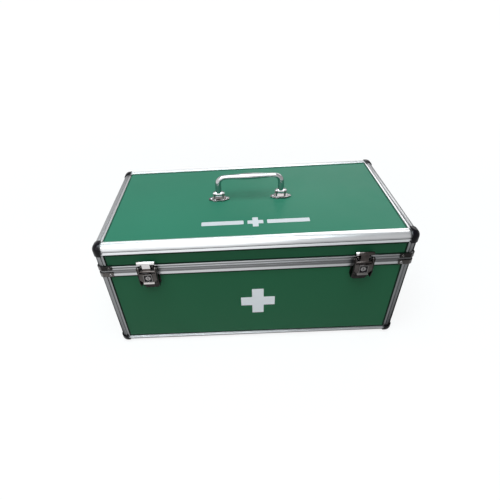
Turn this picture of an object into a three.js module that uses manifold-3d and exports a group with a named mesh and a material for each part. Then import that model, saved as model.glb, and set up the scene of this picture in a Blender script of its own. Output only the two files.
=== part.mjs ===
// First aid box: laminated boards held in aluminium edge profiles, with plastic corner caps,
// a tongued parting rim, two draw latches with key plugs, two rear hinges and a folding handle.
// Millimetres, +Z up, the front faces -Y. The box stands on its four lower caps at z = 0.
import * as THREE from "three";
import { mergeVertices } from "three/addons/utils/BufferGeometryUtils.js";
import { RoundedBoxGeometry } from "three/addons/geometries/RoundedBoxGeometry.js";
import Module from "manifold-3d";

// Case, between the outer planes of its profiles
const caseWidth = 430;
const caseDepth = 220;
const caseHeight = 195;
const fit = 0.3; // clearance between pieces that touch
const boardThickness = 4;
const liningThickness = 1.8;
const liningGap = 1.5; // between the open edges of the two linings

// Edge profiles
const edgeRadius = 8;
const roundRun = 0.6; // straight run from the round edge to the crease
const creaseWidth = 1.4; // groove between the round edge and the flat flanges
const creaseDepth = 0.5; // its floor lies this far below the flanges
const stepDepth = 0.5; // the flat flanges lie this far below the round edge
const flangeThickness = 1.2;
const innerFlange = 1.2;
const flatStrip = 2.5; // flange past the crease, over the top, the bottom and the upright corners
const faceStrip = 4.2; // flange past the crease, down the faces of the lid
const footStrip = 1.2; // flange past the crease, up the faces of the base
const innerLegSetback = 1.8; // the inner flange is this much shorter

// Corner caps
const capWall = 1.2;
const capLapAcross = 3.2; // how far a cap laps over the long profiles
const capLap = 1.4; // how far it laps over the side profiles and the upright corners

// Parting rims
const lidTall = 40; // from the lid's lower edge to the case's top plane
const baseRimTall = 8.4;
const baseRimFlange = 3.2; // flat flange below the bead of the base rim
const baseRimWeb = 4.2; // metal between the board's edge and the top of the base rim
const shadowGap = 3.3; // open line between the two beads
const lidRimTall = 7.8;
const lidRimFlange = 4.3; // flat flange above the bead of the lid rim
const lidRimWeb = 2.8;
const rimBevel = 0.4;
const rimCornerRadius = 5;
const tongueInset = 2.6;
const tongueRoot = 1.4;
const tongueTip = 0.7;
const tongueHeight = 4.8;

// Steel clamps round the rim corners
const clampThickness = 1.2;
const clampReachBase = 20;
const clampReachLid = 15;
const clampEdge = 0.8; // strip of rim left showing beside a clamp

// Hinges
const hingeInset = 90; // from the case's end to the middle of a hinge
const hingeWidth = 44;
const hingeMiddle = 18; // length of the lid leaf's knuckle
const knuckleRadius = 2.6;
const knuckleGap = 0.4; // between the knuckles and the rims
const hingePinRadius = 1.3;
const leafThickness = 1.2;
const leafEdge = 0.6; // strip of rim left showing beside a leaf

// Latches
const latchInset = 68.5; // from the case's end to the middle of a latch
const pressing = 1.2; // thickness of the pressed steel
const leverWidth = 24;
const pivotEye = 3.2;
const latchStand = 1.5; // gap between the latch eyes and the rims, clear of the clamps' plane
const leverPivotRise = 6.7; // above the top of the base rim
const hookPivotDrop = 4.3;
const hookPivotForward = 0.9;
const faceForward = 3.6; // outer face of the lever ahead of its pivot
const leverFaceHeight = 15.6;
const leverSideHeight = 11;
const leverToe = 15;
const lipDrop = 2.2;
const lipFlare = 1.7;
const pivotPinRadius = 1.5;
const pivotHeadRadius = 2.4;
const pivotHeadThickness = 0.8;
const hookPinRadius = 1.2;
const barrelRadius = 1.7;
const barrelGap = 0.5; // between the hook's barrel and the lever's face
const neckWidth = 11;
const clawWidth = 24;
const clawTall = 2.7;
const clawGrip = 2.1; // how far the claw reaches over the keeper's lip
const keeperPlateHeight = 4.5;
const keeperTongueWidth = 19;
const keeperLipReach = 3.7;
const keeperLipCurl = 1.7;
const plateWidth = 29;
const plateTall = 24;
const plateToe = 16;
const plateTaper = 10;
const earStart = 7; // from the foot of the plate to its ears
const bossWidth = 12.6;
const bossHeight = 14;
const bossWall = 1.3;
const bossProud = 1.2;
const bossDrop = 0.5; // from the top of the lever's face to the boss
const plugRadius = 3.6;
const plugFront = 0.6; // face of the plug ahead of the lever's face
const plugBody = 3.2; // body behind the lever's face plate
const keywayWidth = 1;
const keywayLength = 4.4;
const keywayDepth = 1.6;
const camLength = 8;
const camWidth = 4.4;
const strikeWidth = 5.4;
const strikeRise = 2.6; // the strike's hook above the top of the plate
const strikeFoot = 4;

// Handle
const handleSpan = 94; // between the two legs
const handleHeight = 27.5; // bar above the pivots
const pivotRise = 9.5; // pivots above the foot plates' seats
const barRadiusMiddle = 4.6;
const barRadiusEnd = 3.2;
const legRadius = 3.9;
const bendRadius = 13;
const eyeRadius = 4.6;
const eyeWidth = 10.4;
const footLength = 31;
const footWidth = 13.6;
const footTip = 4;
const footThickness = 1.8;
const earThickness = 1.8;
const earRadius = 4;
const handlePinRadius = 1.7;
const handlePinHead = 2.7;
const handlePinHeadThickness = 1;

// Places that follow from the sizes
const halfWidth = caseWidth / 2;
const halfDepth = caseDepth / 2;
const roundEnd = edgeRadius + roundRun;
const creaseEnd = roundEnd + creaseWidth;
const creaseFloor = stepDepth + creaseDepth;
const flatLeg = creaseEnd + flatStrip;
const faceLeg = creaseEnd + faceStrip;
const footLeg = creaseEnd + footStrip;
const slotOuter = stepDepth + flangeThickness;
const boardFace = slotOuter + fit;
const boardBack = boardFace + boardThickness;
const slotInner = boardBack + fit;
const profileDepth = slotInner + innerFlange;
const boardEdge = profileDepth + fit;
const capProud = capWall + fit;
const lidLip = caseHeight - lidTall;
const baseRimTop = lidLip - shadowGap;
const rimFoot = baseRimTop - baseRimTall;
const lidRimTop = lidLip + lidRimTall;
const tongueTop = baseRimTop + tongueHeight;
const grooveTop = tongueTop + fit;
const lidSlotFloor = grooveTop + lidRimWeb;
const hingeHeight = (baseRimTop + lidLip) / 2;
const hingeOffset = halfWidth - hingeInset;
const hingeOut = knuckleRadius + knuckleGap;
const latchOffset = halfWidth - latchInset;
const leverPivotOut = latchStand + pivotEye;
const leverPivotHeight = baseRimTop + leverPivotRise;
const leverFace = leverPivotOut + faceForward;
const leverInner = leverFace - pressing;
const hookPivotOut = leverPivotOut + hookPivotForward;
const hookPivotHeight = leverPivotHeight - hookPivotDrop;
const leverFaceTop = hookPivotHeight - barrelRadius - barrelGap;
const leverFaceFoot = leverFaceTop - leverFaceHeight;
const bossTop = leverFaceTop - bossDrop;
const plugHeight = bossTop - bossHeight / 2;
const cheekOuter = leverWidth / 2;
const cheekInner = cheekOuter - pressing;
const earInner = cheekOuter + fit;
const plateTop = rimFoot - fit;
const plateFoot = plateTop - plateTall;
const plateFace = pressing + fit - boardFace;
const keeperBack = fit;
const keeperFront = keeperBack + pressing;
const keeperPlateFoot = lidRimTop + fit;
const keeperTop = keeperPlateFoot + keeperPlateHeight;
const frontReach = Math.max(leverFace + lipFlare, leverFace + bossProud, leverFace + plugFront);
const rearReach = hingeOut + knuckleRadius;

const wasm = await Module();
wasm.setup();

const aluminium = new THREE.MeshStandardMaterial({ color: 0xc9ccd2, roughness: 0.38, metalness: 0.9 });
const greenBoard = new THREE.MeshStandardMaterial({ color: 0x2c7150, roughness: 0.45, metalness: 0 });
const blackPlastic = new THREE.MeshStandardMaterial({ color: 0x121114, roughness: 0.28, metalness: 0 });
const brightSteel = new THREE.MeshStandardMaterial({ color: 0xd8d6d4, roughness: 0.16, metalness: 1 });
const lining = new THREE.MeshStandardMaterial({ color: 0x2a2c2e, roughness: 0.9, metalness: 0 });

// A closed geometry as a solid that can be joined and cut
function solid(geometry) {
  const bare = geometry.clone();
  for (const name of Object.keys(bare.attributes)) {
    if (name !== "position") bare.deleteAttribute(name);
  }
  const merged = mergeVertices(bare, 1e-4);
  const mesh = new wasm.Mesh({
    numProp: 3,
    vertProperties: merged.attributes.position.array,
    triVerts: new Uint32Array(merged.index.array),
  });
  return new wasm.Manifold(mesh);
}

function geometryOf(made) {
  const mesh = made.getMesh();
  const geometry = new THREE.BufferGeometry();
  geometry.setAttribute("position", new THREE.BufferAttribute(mesh.vertProperties, 3));
  geometry.setIndex(new THREE.BufferAttribute(mesh.triVerts, 1));
  geometry.computeVertexNormals();
  return geometry;
}

function join(...solids) {
  return solids.reduce((all, next) => all.add(next));
}

// Outlines: lists of [a, b] points, with round stretches from arc()
function arc(a, b, radius, from, to, steps = 6) {
  const points = [];
  for (let i = 0; i <= steps; i++) {
    const angle = THREE.MathUtils.degToRad(from + ((to - from) * i) / steps);
    points.push([a + radius * Math.cos(angle), b + radius * Math.sin(angle)]);
  }
  return points;
}

function circle(a, b, radius, steps = 20) {
  return arc(a, b, radius, 0, 360, steps).slice(0, -1);
}

function roundedRectangle(halfA, halfB, radius, steps = 4) {
  return [
    ...arc(halfA - radius, halfB - radius, radius, 0, 90, steps),
    ...arc(radius - halfA, halfB - radius, radius, 90, 180, steps),
    ...arc(radius - halfA, radius - halfB, radius, 180, 270, steps),
    ...arc(halfA - radius, radius - halfB, radius, 270, 360, steps),
  ];
}

function shifted(outline, a, b) {
  return outline.map(([x, y]) => [x + a, y + b]);
}

function extruded(outline, depth, holes) {
  const vectors = (points) => points.map(([a, b]) => new THREE.Vector2(a, b));
  const shape = new THREE.Shape(vectors(outline));
  shape.holes = holes.map((hole) => new THREE.Path(vectors(hole)));
  return new THREE.ExtrudeGeometry(shape, { depth, bevelEnabled: false });
}

// Prisms: an outline in (y, z), (x, z) or (x, y), drawn out along the third axis
function alongX(outline, from, to, holes = []) {
  const turn = new THREE.Matrix4().makeBasis(
    new THREE.Vector3(0, 1, 0),
    new THREE.Vector3(0, 0, 1),
    new THREE.Vector3(1, 0, 0),
  );
  return solid(extruded(outline, to - from, holes).applyMatrix4(turn).translate(from, 0, 0));
}

function alongY(outline, from, to, holes = []) {
  return solid(extruded(outline, to - from, holes).rotateX(Math.PI / 2).translate(0, to, 0));
}

function alongZ(outline, from, to, holes = []) {
  return solid(extruded(outline, to - from, holes).translate(0, 0, from));
}

function block(x0, x1, y0, y1, z0, z1) {
  const geometry = new THREE.BoxGeometry(x1 - x0, y1 - y0, z1 - z0);
  return solid(geometry.translate((x0 + x1) / 2, (y0 + y1) / 2, (z0 + z1) / 2));
}

function piece(name, made, material, parent) {
  const mesh = new THREE.Mesh(geometryOf(made), material);
  mesh.name = name;
  parent.add(mesh);
  return mesh;
}

// Section of an edge profile; a and b run inwards from the two outer planes
function edgeSection(legA, legB) {
  return [
    ...arc(edgeRadius, edgeRadius, edgeRadius, 180, 270, 8),
    [roundEnd, 0],
    [roundEnd, creaseFloor],
    [creaseEnd, creaseFloor],
    [creaseEnd, stepDepth],
    [legA, stepDepth],
    [legA, slotOuter],
    [profileDepth, slotOuter],
    [profileDepth, slotInner],
    [legA - innerLegSetback, slotInner],
    [legA - innerLegSetback, profileDepth],
    [profileDepth, profileDepth],
    [profileDepth, legB - innerLegSetback],
    [slotInner, legB - innerLegSetback],
    [slotInner, profileDepth],
    [slotOuter, profileDepth],
    [slotOuter, legB],
    [stepDepth, legB],
    [stepDepth, creaseEnd],
    [creaseFloor, creaseEnd],
    [creaseFloor, roundEnd],
    [0, roundEnd],
  ];
}

// Quarter that an edge profile fills, with its clearance, out to a far inner corner
function edgeSpace(far) {
  return [
    ...arc(edgeRadius, edgeRadius, edgeRadius + fit, 180, 270, 8),
    [far, -fit],
    [far, far],
    [-fit, far],
  ];
}

// A cap over the corner where three profiles meet; leg is the length of their flanges on the faces
function cornerCap(leg) {
  const reachX = profileDepth + capLapAcross;
  const reachY = flatLeg + capLap;
  const reachZ = leg + capLap;
  const far = reachX + reachY + reachZ;
  const ball = new RoundedBoxGeometry(
    2 * (reachX + capProud),
    2 * (reachY + capProud),
    2 * (reachZ + capProud),
    5,
    edgeRadius + capProud,
  );
  const corner = block(-far, reachX, -far, reachY, -far, reachZ);
  return solid(ball.translate(reachX, reachY, reachZ))
    .intersect(corner)
    .subtract(alongX(edgeSpace(far), profileDepth, far))
    .subtract(alongY(edgeSpace(far), flatLeg, far))
    .subtract(alongZ(edgeSpace(far), leg, far))
    .subtract(block(slotOuter, far, profileDepth, far, profileDepth, far));
}

// A rim: its section, listed up the outer side, carried round the case with mitred corners
function rimRing(section) {
  const corners = [[-1, -1], [1, -1], [1, 1], [-1, 1]];
  const positions = section.flatMap(([inset, z]) =>
    corners.flatMap(([sx, sy]) => [sx * (halfWidth - inset), sy * (halfDepth - inset), z]),
  );
  const index = [];
  section.forEach((_, i) => {
    const next = (i + 1) % section.length;
    for (let c = 0; c < 4; c++) {
      const d = (c + 1) % 4;
      index.push(4 * i + c, 4 * i + d, 4 * next + d);
      index.push(4 * i + c, 4 * next + d, 4 * next + c);
    }
  });
  const geometry = new THREE.BufferGeometry();
  geometry.setAttribute("position", new THREE.Float32BufferAttribute(positions, 3));
  geometry.setIndex(index);
  const heights = section.map(([, z]) => z);
  const outline = roundedRectangle(halfWidth, halfDepth, rimCornerRadius);
  const envelope = alongZ(outline, Math.min(...heights) - fit, Math.max(...heights) + fit);
  return solid(geometry).intersect(envelope);
}

// The four steel clamps of a rim, from its face outwards
function rimClamps(reach, low, high) {
  const outer = roundedRectangle(
    halfWidth + clampThickness,
    halfDepth + clampThickness,
    rimCornerRadius + clampThickness,
  );
  const inner = roundedRectangle(halfWidth - slotOuter, halfDepth - slotOuter, rimBevel);
  const band = alongZ(outer, low, high, [inner]);
  const far = caseWidth + caseDepth;
  return band
    .subtract(block(reach - halfWidth, halfWidth - reach, -far, far, low - fit, high + fit))
    .subtract(block(-far, far, reach - halfDepth, halfDepth - reach, low - fit, high + fit));
}

function baseRim() {
  const slotTop = baseRimTop - baseRimWeb;
  const beadFoot = rimFoot + baseRimFlange;
  const ring = rimRing([
    [stepDepth, rimFoot],
    [stepDepth, beadFoot - rimBevel],
    [0, beadFoot],
    [0, baseRimTop - rimBevel],
    [rimBevel, baseRimTop],
    [tongueInset, baseRimTop],
    [tongueInset, tongueTop - rimBevel],
    [tongueInset + rimBevel, tongueTop],
    [tongueInset + tongueTip, tongueTop],
    [tongueInset + tongueRoot, baseRimTop],
    [profileDepth, baseRimTop],
    [profileDepth, rimFoot],
    [slotInner, rimFoot],
    [slotInner, slotTop],
    [slotOuter, slotTop],
    [slotOuter, rimFoot],
  ]);
  return ring.add(rimClamps(clampReachBase, rimFoot + clampEdge, baseRimTop - rimBevel));
}

function lidRim() {
  const wallFoot = baseRimTop + fit;
  const beadTop = lidRimTop - lidRimFlange;
  const grooveInner = tongueInset + tongueRoot + fit;
  const grooveOuter = tongueInset - fit;
  const ring = rimRing([
    [rimBevel, lidLip],
    [0, lidLip + rimBevel],
    [0, beadTop - rimBevel],
    [stepDepth, beadTop],
    [stepDepth, lidRimTop],
    [slotOuter, lidRimTop],
    [slotOuter, lidSlotFloor],
    [slotInner, lidSlotFloor],
    [slotInner, lidRimTop],
    [profileDepth, lidRimTop],
    [profileDepth, wallFoot],
    [grooveInner, wallFoot],
    [grooveInner, grooveTop],
    [grooveOuter, grooveTop],
    [grooveOuter, lidLip],
  ]);
  return ring.add(rimClamps(clampReachLid, lidLip + rimBevel, lidRimTop - clampEdge));
}

// A folded lining: four walls and one floor, from the floor's outer face to the open edge
function liningTub(floor, edge) {
  const halfX = halfWidth - boardEdge;
  const halfY = halfDepth - boardEdge;
  const inward = Math.sign(edge - floor) * liningThickness;
  const low = Math.min(floor, edge);
  const high = Math.max(floor, edge);
  const hollow = [floor + inward, edge + inward].sort((a, b) => a - b);
  const insideX = halfX - liningThickness;
  const insideY = halfDepth - boardEdge - liningThickness;
  return block(-halfX, halfX, -halfY, halfY, low, high).subtract(
    block(-insideX, insideX, -insideY, insideY, hollow[0], hollow[1]),
  );
}

// Four boards round the case and the long and upright profiles beside them
function walls(parent, part, low, high) {
  const spanX = halfWidth - boardEdge;
  const spanY = halfDepth - boardEdge;
  const acrossY = [halfDepth - boardBack, halfDepth - boardFace];
  const acrossX = [halfWidth - boardBack, halfWidth - boardFace];
  const board = (side, ...box) => piece(`${part}_${side}_board`, block(...box), greenBoard, parent);
  board("front", -spanX, spanX, -acrossY[1], -acrossY[0], low, high);
  board("rear", -spanX, spanX, ...acrossY, low, high);
  board("left", -acrossX[1], -acrossX[0], -spanY, spanY, low, high);
  board("right", ...acrossX, -spanY, spanY, low, high);
}

function uprightCorners(parent, part, low, high) {
  const bar = alongZ(edgeSection(flatLeg, flatLeg), low, high);
  for (const [end, sy] of [["front", 1], ["rear", -1]]) {
    for (const [side, sx] of [["left", 1], ["right", -1]]) {
      const mesh = piece(`${part}_${end}_${side}_corner_profile`, bar, aluminium, parent);
      mesh.scale.set(sx, sy, 1);
      mesh.position.set(-sx * halfWidth, -sy * halfDepth, 0);
    }
  }
}

// The four profiles and four caps round the top or the bottom of the case
function edgeFrame(parent, part, plane, sz, leg) {
  const longReach = halfWidth - boardEdge;
  const sideReach = halfDepth - flatLeg - fit;
  const longBar = alongX(edgeSection(flatLeg, leg), -longReach, longReach);
  for (const [end, sy] of [["front", 1], ["rear", -1]]) {
    const mesh = piece(`${part}_${end}_edge_profile`, longBar, aluminium, parent);
    mesh.scale.set(1, sy, sz);
    mesh.position.set(0, -sy * halfDepth, plane);
  }
  const sideBar = alongY(edgeSection(flatLeg, leg), -sideReach, sideReach);
  for (const [side, sx] of [["left", 1], ["right", -1]]) {
    const mesh = piece(`${part}_${side}_edge_profile`, sideBar, aluminium, parent);
    mesh.scale.set(sx, 1, sz);
    mesh.position.set(-sx * halfWidth, 0, plane);
  }
  const cap = cornerCap(leg);
  for (const [end, sy] of [["front", 1], ["rear", -1]]) {
    for (const [side, sx] of [["left", 1], ["right", -1]]) {
      const mesh = piece(`${part}_${end}_${side}_corner_cap`, cap, blackPlastic, parent);
      mesh.scale.set(sx, sy, sz);
      mesh.position.set(-sx * halfWidth, -sy * halfDepth, plane);
    }
  }
}

// Base of the case
const base = new THREE.Group();
const boardX = halfWidth - boardEdge;
const boardY = halfDepth - boardEdge;
piece("bottom_board", block(-boardX, boardX, -boardY, boardY, boardFace, boardBack), greenBoard, base);
walls(base, "base", boardEdge, baseRimTop - baseRimWeb - fit);
uprightCorners(base, "base", footLeg + fit, rimFoot - fit);
edgeFrame(base, "bottom", 0, 1, footLeg);
piece("base_rim", baseRim(), aluminium, base);
piece("base_lining", liningTub(boardEdge, baseRimTop - fit), lining, base);

// Lid of the case
const lid = new THREE.Group();
const topFace = caseHeight - boardFace;
piece("top_board", block(-boardX, boardX, -boardY, boardY, caseHeight - boardBack, topFace), greenBoard, lid);
walls(lid, "lid", lidSlotFloor + fit, caseHeight - boardEdge);
uprightCorners(lid, "lid", lidRimTop + fit, caseHeight - faceLeg - fit);
edgeFrame(lid, "top", caseHeight, -1, faceLeg);
piece("lid_rim", lidRim(), aluminium, lid);
piece("lid_lining", liningTub(caseHeight - boardEdge, baseRimTop - fit + liningGap), lining, lid);

// Hinges: y runs out of the rear plane
function knuckle(from, to) {
  const outline = circle(hingeOut, hingeHeight, knuckleRadius);
  const bore = circle(hingeOut, hingeHeight, hingePinRadius + fit);
  return alongX(outline, from, to, [bore]);
}

function hingeLeaf(side, spans) {
  const knuckleEdge = hingeHeight + side * (knuckleRadius + 2 * fit);
  const farEdge = side > 0 ? lidRimTop - leafEdge : rimFoot + leafEdge;
  const rollEdge = hingeHeight + side * (hingePinRadius - fit);
  const [low, high] = [knuckleEdge, farEdge].sort((a, b) => a - b);
  const [tabLow, tabHigh] = [rollEdge, knuckleEdge + side * fit].sort((a, b) => a - b);
  const plate = block(-hingeWidth / 2, hingeWidth / 2, fit, fit + leafThickness, low, high);
  const rolls = spans.map(([from, to]) =>
    knuckle(from, to).add(block(from, to, fit, fit + leafThickness, tabLow, tabHigh)),
  );
  return join(plate, ...rolls);
}

const middleHalf = hingeMiddle / 2;
const baseLeaf = hingeLeaf(-1, [
  [-hingeWidth / 2, -middleHalf - fit],
  [middleHalf + fit, hingeWidth / 2],
]);
const lidLeaf = hingeLeaf(1, [[-middleHalf, middleHalf]]);
const pinHalf = hingeWidth / 2 + fit;
const hingePin = join(
  alongX(circle(hingeOut, hingeHeight, hingePinRadius, 16), -pinHalf, pinHalf),
  alongX(circle(hingeOut, hingeHeight, knuckleRadius - fit, 16), pinHalf, pinHalf + leafThickness),
  alongX(circle(hingeOut, hingeHeight, knuckleRadius - fit, 16), -pinHalf - leafThickness, -pinHalf),
);
for (const [side, sx] of [["left", -1], ["right", 1]]) {
  const pieces = [
    piece(`${side}_hinge_base_leaf`, baseLeaf, brightSteel, base),
    piece(`${side}_hinge_pin`, hingePin, brightSteel, base),
    piece(`${side}_hinge_lid_leaf`, lidLeaf, brightSteel, lid),
  ];
  for (const mesh of pieces) mesh.position.set(sx * hingeOffset, halfDepth, 0);
}

// Latches: outlines from the side are [out, z], and y is minus the distance out of the front plane
function fromSide(outline, from, to, holes = []) {
  const flip = (points) => points.map(([out, z]) => [-out, z]);
  return alongX(flip(outline), from, to, holes.map(flip));
}

function fromFront(outline, inner, outer, holes = []) {
  return alongY(outline, -outer, -inner, holes);
}

function onBothSides(outline, from, to, holes = []) {
  return join(fromSide(outline, from, to, holes), fromSide(outline, -to, -from, holes));
}

function latchPlate() {
  const half = plateWidth / 2;
  const toe = plateToe / 2;
  const shield = [
    [-half, plateTop],
    [-half, plateFoot + plateTaper],
    [-toe, plateFoot],
    [toe, plateFoot],
    [half, plateFoot + plateTaper],
    [half, plateTop],
  ];
  const earFoot = plateFoot + earStart;
  const ear = [
    [fit - boardFace, earFoot],
    [latchStand + pivotEye, earFoot],
    [leverPivotOut + pivotEye, earFoot + plateTaper],
    ...arc(leverPivotOut, leverPivotHeight, pivotEye, 0, 180, 8),
    [latchStand, plateTop],
    [fit - boardFace, plateTop],
  ];
  const strikeOut = leverInner - plugBody + 2 * fit + pressing;
  const strikeSide = cheekInner - fit;
  const strikePost = block(
    strikeSide - pressing,
    strikeSide,
    -strikeOut,
    boardFace - fit,
    plateTop - strikeFoot,
    plateTop,
  );
  const strikeHook = block(
    strikeSide - strikeWidth,
    strikeSide,
    -strikeOut - pressing,
    -strikeOut,
    plateTop - strikeFoot,
    plateTop + strikeRise,
  );
  const pin = (radius, from, to) =>
    onBothSides(circle(leverPivotOut, leverPivotHeight, radius, 16), from, to);
  return join(
    fromFront(shield, fit - boardFace, plateFace),
    onBothSides(ear, earInner, earInner + pressing),
    pin(pivotPinRadius, cheekInner - fit, earInner + pressing),
    pin(pivotHeadRadius, earInner + pressing, earInner + pressing + pivotHeadThickness),
    strikePost,
    strikeHook,
  );
}

function lever() {
  const half = leverWidth / 2;
  const toe = leverToe / 2;
  const sideFoot = leverFaceTop - leverSideHeight;
  const cheek = [
    ...arc(leverPivotOut, leverPivotHeight, pivotEye, 180, 0, 8),
    [leverFace, leverFaceTop],
    [leverFace, sideFoot],
    [leverPivotOut, sideFoot],
    [latchStand, sideFoot + pivotEye],
  ];
  const face = [
    [-half, leverFaceTop],
    [-half, sideFoot],
    [-toe, leverFaceFoot],
    [toe, leverFaceFoot],
    [half, sideFoot],
    [half, leverFaceTop],
  ];
  const lip = [
    [leverInner, leverFaceFoot + fit],
    [leverFace, leverFaceFoot + fit],
    [leverFace + lipFlare, leverFaceFoot - lipDrop + pressing / 2],
    [leverFace + lipFlare - pressing / 2, leverFaceFoot - lipDrop],
    [leverInner, leverFaceFoot - fit],
  ];
  const frame = shifted(roundedRectangle(bossWidth / 2, bossHeight / 2, bossWall), 0, plugHeight);
  const pocket = shifted(
    roundedRectangle(bossWidth / 2 - bossWall, bossHeight / 2 - bossWall, bossWall / 2),
    0,
    plugHeight,
  );
  return join(
    onBothSides(cheek, cheekInner, cheekOuter, [
      circle(leverPivotOut, leverPivotHeight, pivotPinRadius + fit, 16),
      circle(hookPivotOut, hookPivotHeight, hookPinRadius + fit, 16),
    ]),
    fromFront(face, leverInner, leverFace, [circle(0, plugHeight, plugRadius + fit, 24)]),
    fromFront(frame, leverInner + fit, leverFace + bossProud, [pocket]),
    fromSide(lip, -toe, toe),
  );
}

function hook() {
  const neckBack = hookPivotOut - pressing / 2;
  const neckFront = hookPivotOut + pressing / 2;
  const under = keeperTop + fit;
  const neck = block(-neckWidth / 2, neckWidth / 2, -neckFront, -neckBack, hookPivotHeight, under + pressing);
  const tip = keeperBack + keeperLipReach - clawGrip;
  const nose = clawTall - fit;
  const claw = [
    [tip, under],
    [neckBack, under],
    [neckBack, under - clawTall / 2],
    [neckFront, under - clawTall / 2],
    ...arc(neckFront - nose, under + clawTall - nose, nose, 0, 90, 5),
    [tip, under + pressing],
  ];
  const half = cheekInner - fit;
  return join(
    neck,
    fromSide(claw, -clawWidth / 2, clawWidth / 2),
    fromSide(circle(hookPivotOut, hookPivotHeight, barrelRadius), -half, half),
    fromSide(circle(hookPivotOut, hookPivotHeight, hookPinRadius, 12), -cheekOuter, cheekOuter),
  );
}

function keeper() {
  const lipFront = keeperBack + keeperLipReach;
  const bend = pressing;
  const upper = [
    [keeperBack, keeperPlateFoot],
    [keeperFront, keeperPlateFoot],
    [keeperFront, keeperTop - pressing],
    [lipFront - pressing, keeperTop - pressing],
    [lipFront - pressing, keeperTop - pressing - keeperLipCurl / 2],
    [lipFront, keeperTop - pressing - keeperLipCurl / 2],
    ...arc(lipFront - bend, keeperTop - bend, bend, 0, 90, 3),
    ...arc(keeperBack + bend, keeperTop - bend, bend, 90, 180, 3),
  ];
  const tongue = block(
    -keeperTongueWidth / 2,
    keeperTongueWidth / 2,
    -keeperFront,
    -keeperBack,
    lidLip + clampEdge,
    keeperPlateFoot + fit,
  );
  return tongue.add(fromSide(upper, -clawWidth / 2, clawWidth / 2));
}

function keyPlug() {
  const front = leverFace + plugFront;
  const back = leverInner - plugBody;
  const body = fromFront(circle(0, plugHeight, plugRadius, 24), back, front);
  const keyway = fromFront(
    shifted(roundedRectangle(keywayWidth / 2, keywayLength / 2, keywayWidth / 3), 0, plugHeight),
    front - keywayDepth,
    front + fit,
  );
  const half = camWidth / 2;
  const cam = [
    ...arc(0, plugHeight, half, 0, 180, 6),
    ...arc(0, plugHeight - camLength + half, half, 180, 360, 6),
  ];
  return body.subtract(keyway).add(fromFront(cam, back - pressing, back + fit));
}

const parts = {
  plate: latchPlate(),
  keeper: keeper(),
  lever: lever(),
  hook: hook(),
  plug: keyPlug(),
};
const moving = new THREE.Group();
for (const [side, sx] of [["left", -1], ["right", 1]]) {
  const pieces = [
    piece(`${side}_latch_plate`, parts.plate, brightSteel, base),
    piece(`${side}_latch_keeper`, parts.keeper, brightSteel, lid),
    piece(`${side}_latch_lever`, parts.lever, brightSteel, moving),
    piece(`${side}_latch_hook`, parts.hook, brightSteel, moving),
    piece(`${side}_key_plug`, parts.plug, brightSteel, moving),
  ];
  for (const mesh of pieces) mesh.position.set(sx * latchOffset, -halfDepth, 0);
}

// Handle: a bail round its own pivots, between two foot brackets
const footSeat = topFace + fit;
const pivotHeight = footSeat + pivotRise;

// A tube along a curve in the XZ plane, with a radius that changes along it
function swellingTube(curve, radiusAt, rings, sides) {
  const positions = [];
  const index = [];
  const across = new THREE.Vector3(0, 1, 0);
  for (let i = 0; i <= rings; i++) {
    const centre = curve.getPointAt(i / rings);
    const normal = curve.getTangentAt(i / rings).cross(across);
    for (let j = 0; j < sides; j++) {
      const angle = (2 * Math.PI * j) / sides;
      const point = centre
        .clone()
        .addScaledVector(normal, radiusAt(i / rings) * Math.cos(angle))
        .addScaledVector(across, radiusAt(i / rings) * Math.sin(angle));
      positions.push(point.x, point.y, point.z);
    }
  }
  for (let i = 0; i < rings; i++) {
    for (let j = 0; j < sides; j++) {
      const k = (j + 1) % sides;
      index.push(i * sides + j, (i + 1) * sides + j, (i + 1) * sides + k);
      index.push(i * sides + j, (i + 1) * sides + k, i * sides + k);
    }
  }
  for (let j = 1; j < sides - 1; j++) {
    index.push(0, j, j + 1);
    index.push(rings * sides, rings * sides + j + 1, rings * sides + j);
  }
  const geometry = new THREE.BufferGeometry();
  geometry.setAttribute("position", new THREE.Float32BufferAttribute(positions, 3));
  geometry.setIndex(index);
  return solid(geometry);
}

function bail() {
  const half = handleSpan / 2;
  const corner = (sx) => new THREE.Vector3(sx * half, 0, handleHeight);
  const path = new THREE.CurvePath();
  const legTop = (sx) => new THREE.Vector3(sx * half, 0, handleHeight - bendRadius);
  const barEnd = (sx) => new THREE.Vector3(sx * (half - bendRadius), 0, handleHeight);
  path.add(new THREE.LineCurve3(new THREE.Vector3(-half, 0, 0), legTop(-1)));
  path.add(new THREE.QuadraticBezierCurve3(legTop(-1), corner(-1), barEnd(-1)));
  path.add(new THREE.LineCurve3(barEnd(-1), barEnd(1)));
  path.add(new THREE.QuadraticBezierCurve3(barEnd(1), corner(1), legTop(1)));
  path.add(new THREE.LineCurve3(legTop(1), new THREE.Vector3(half, 0, 0)));
  const length = path.getLength();
  const barHalf = half - bendRadius;
  const radiusAt = (t) => {
    const run = Math.abs(t - 0.5) * length;
    const swell = Math.cos((Math.min(run / barHalf, 1) * Math.PI) / 2);
    const leg = THREE.MathUtils.smoothstep(run, barHalf, length / 2);
    return barRadiusEnd + (barRadiusMiddle - barRadiusEnd) * swell ** 2 + (legRadius - barRadiusEnd) * leg;
  };
  const tube = swellingTube(path, radiusAt, 56, 14);
  const eyes = [-half, half].map((x) =>
    alongX(circle(0, 0, eyeRadius), x - eyeWidth / 2, x + eyeWidth / 2),
  );
  const far = half + eyeWidth;
  const bore = alongX(circle(0, 0, handlePinRadius + fit, 16), -far, far);
  return join(tube, ...eyes).subtract(bore);
}

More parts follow.
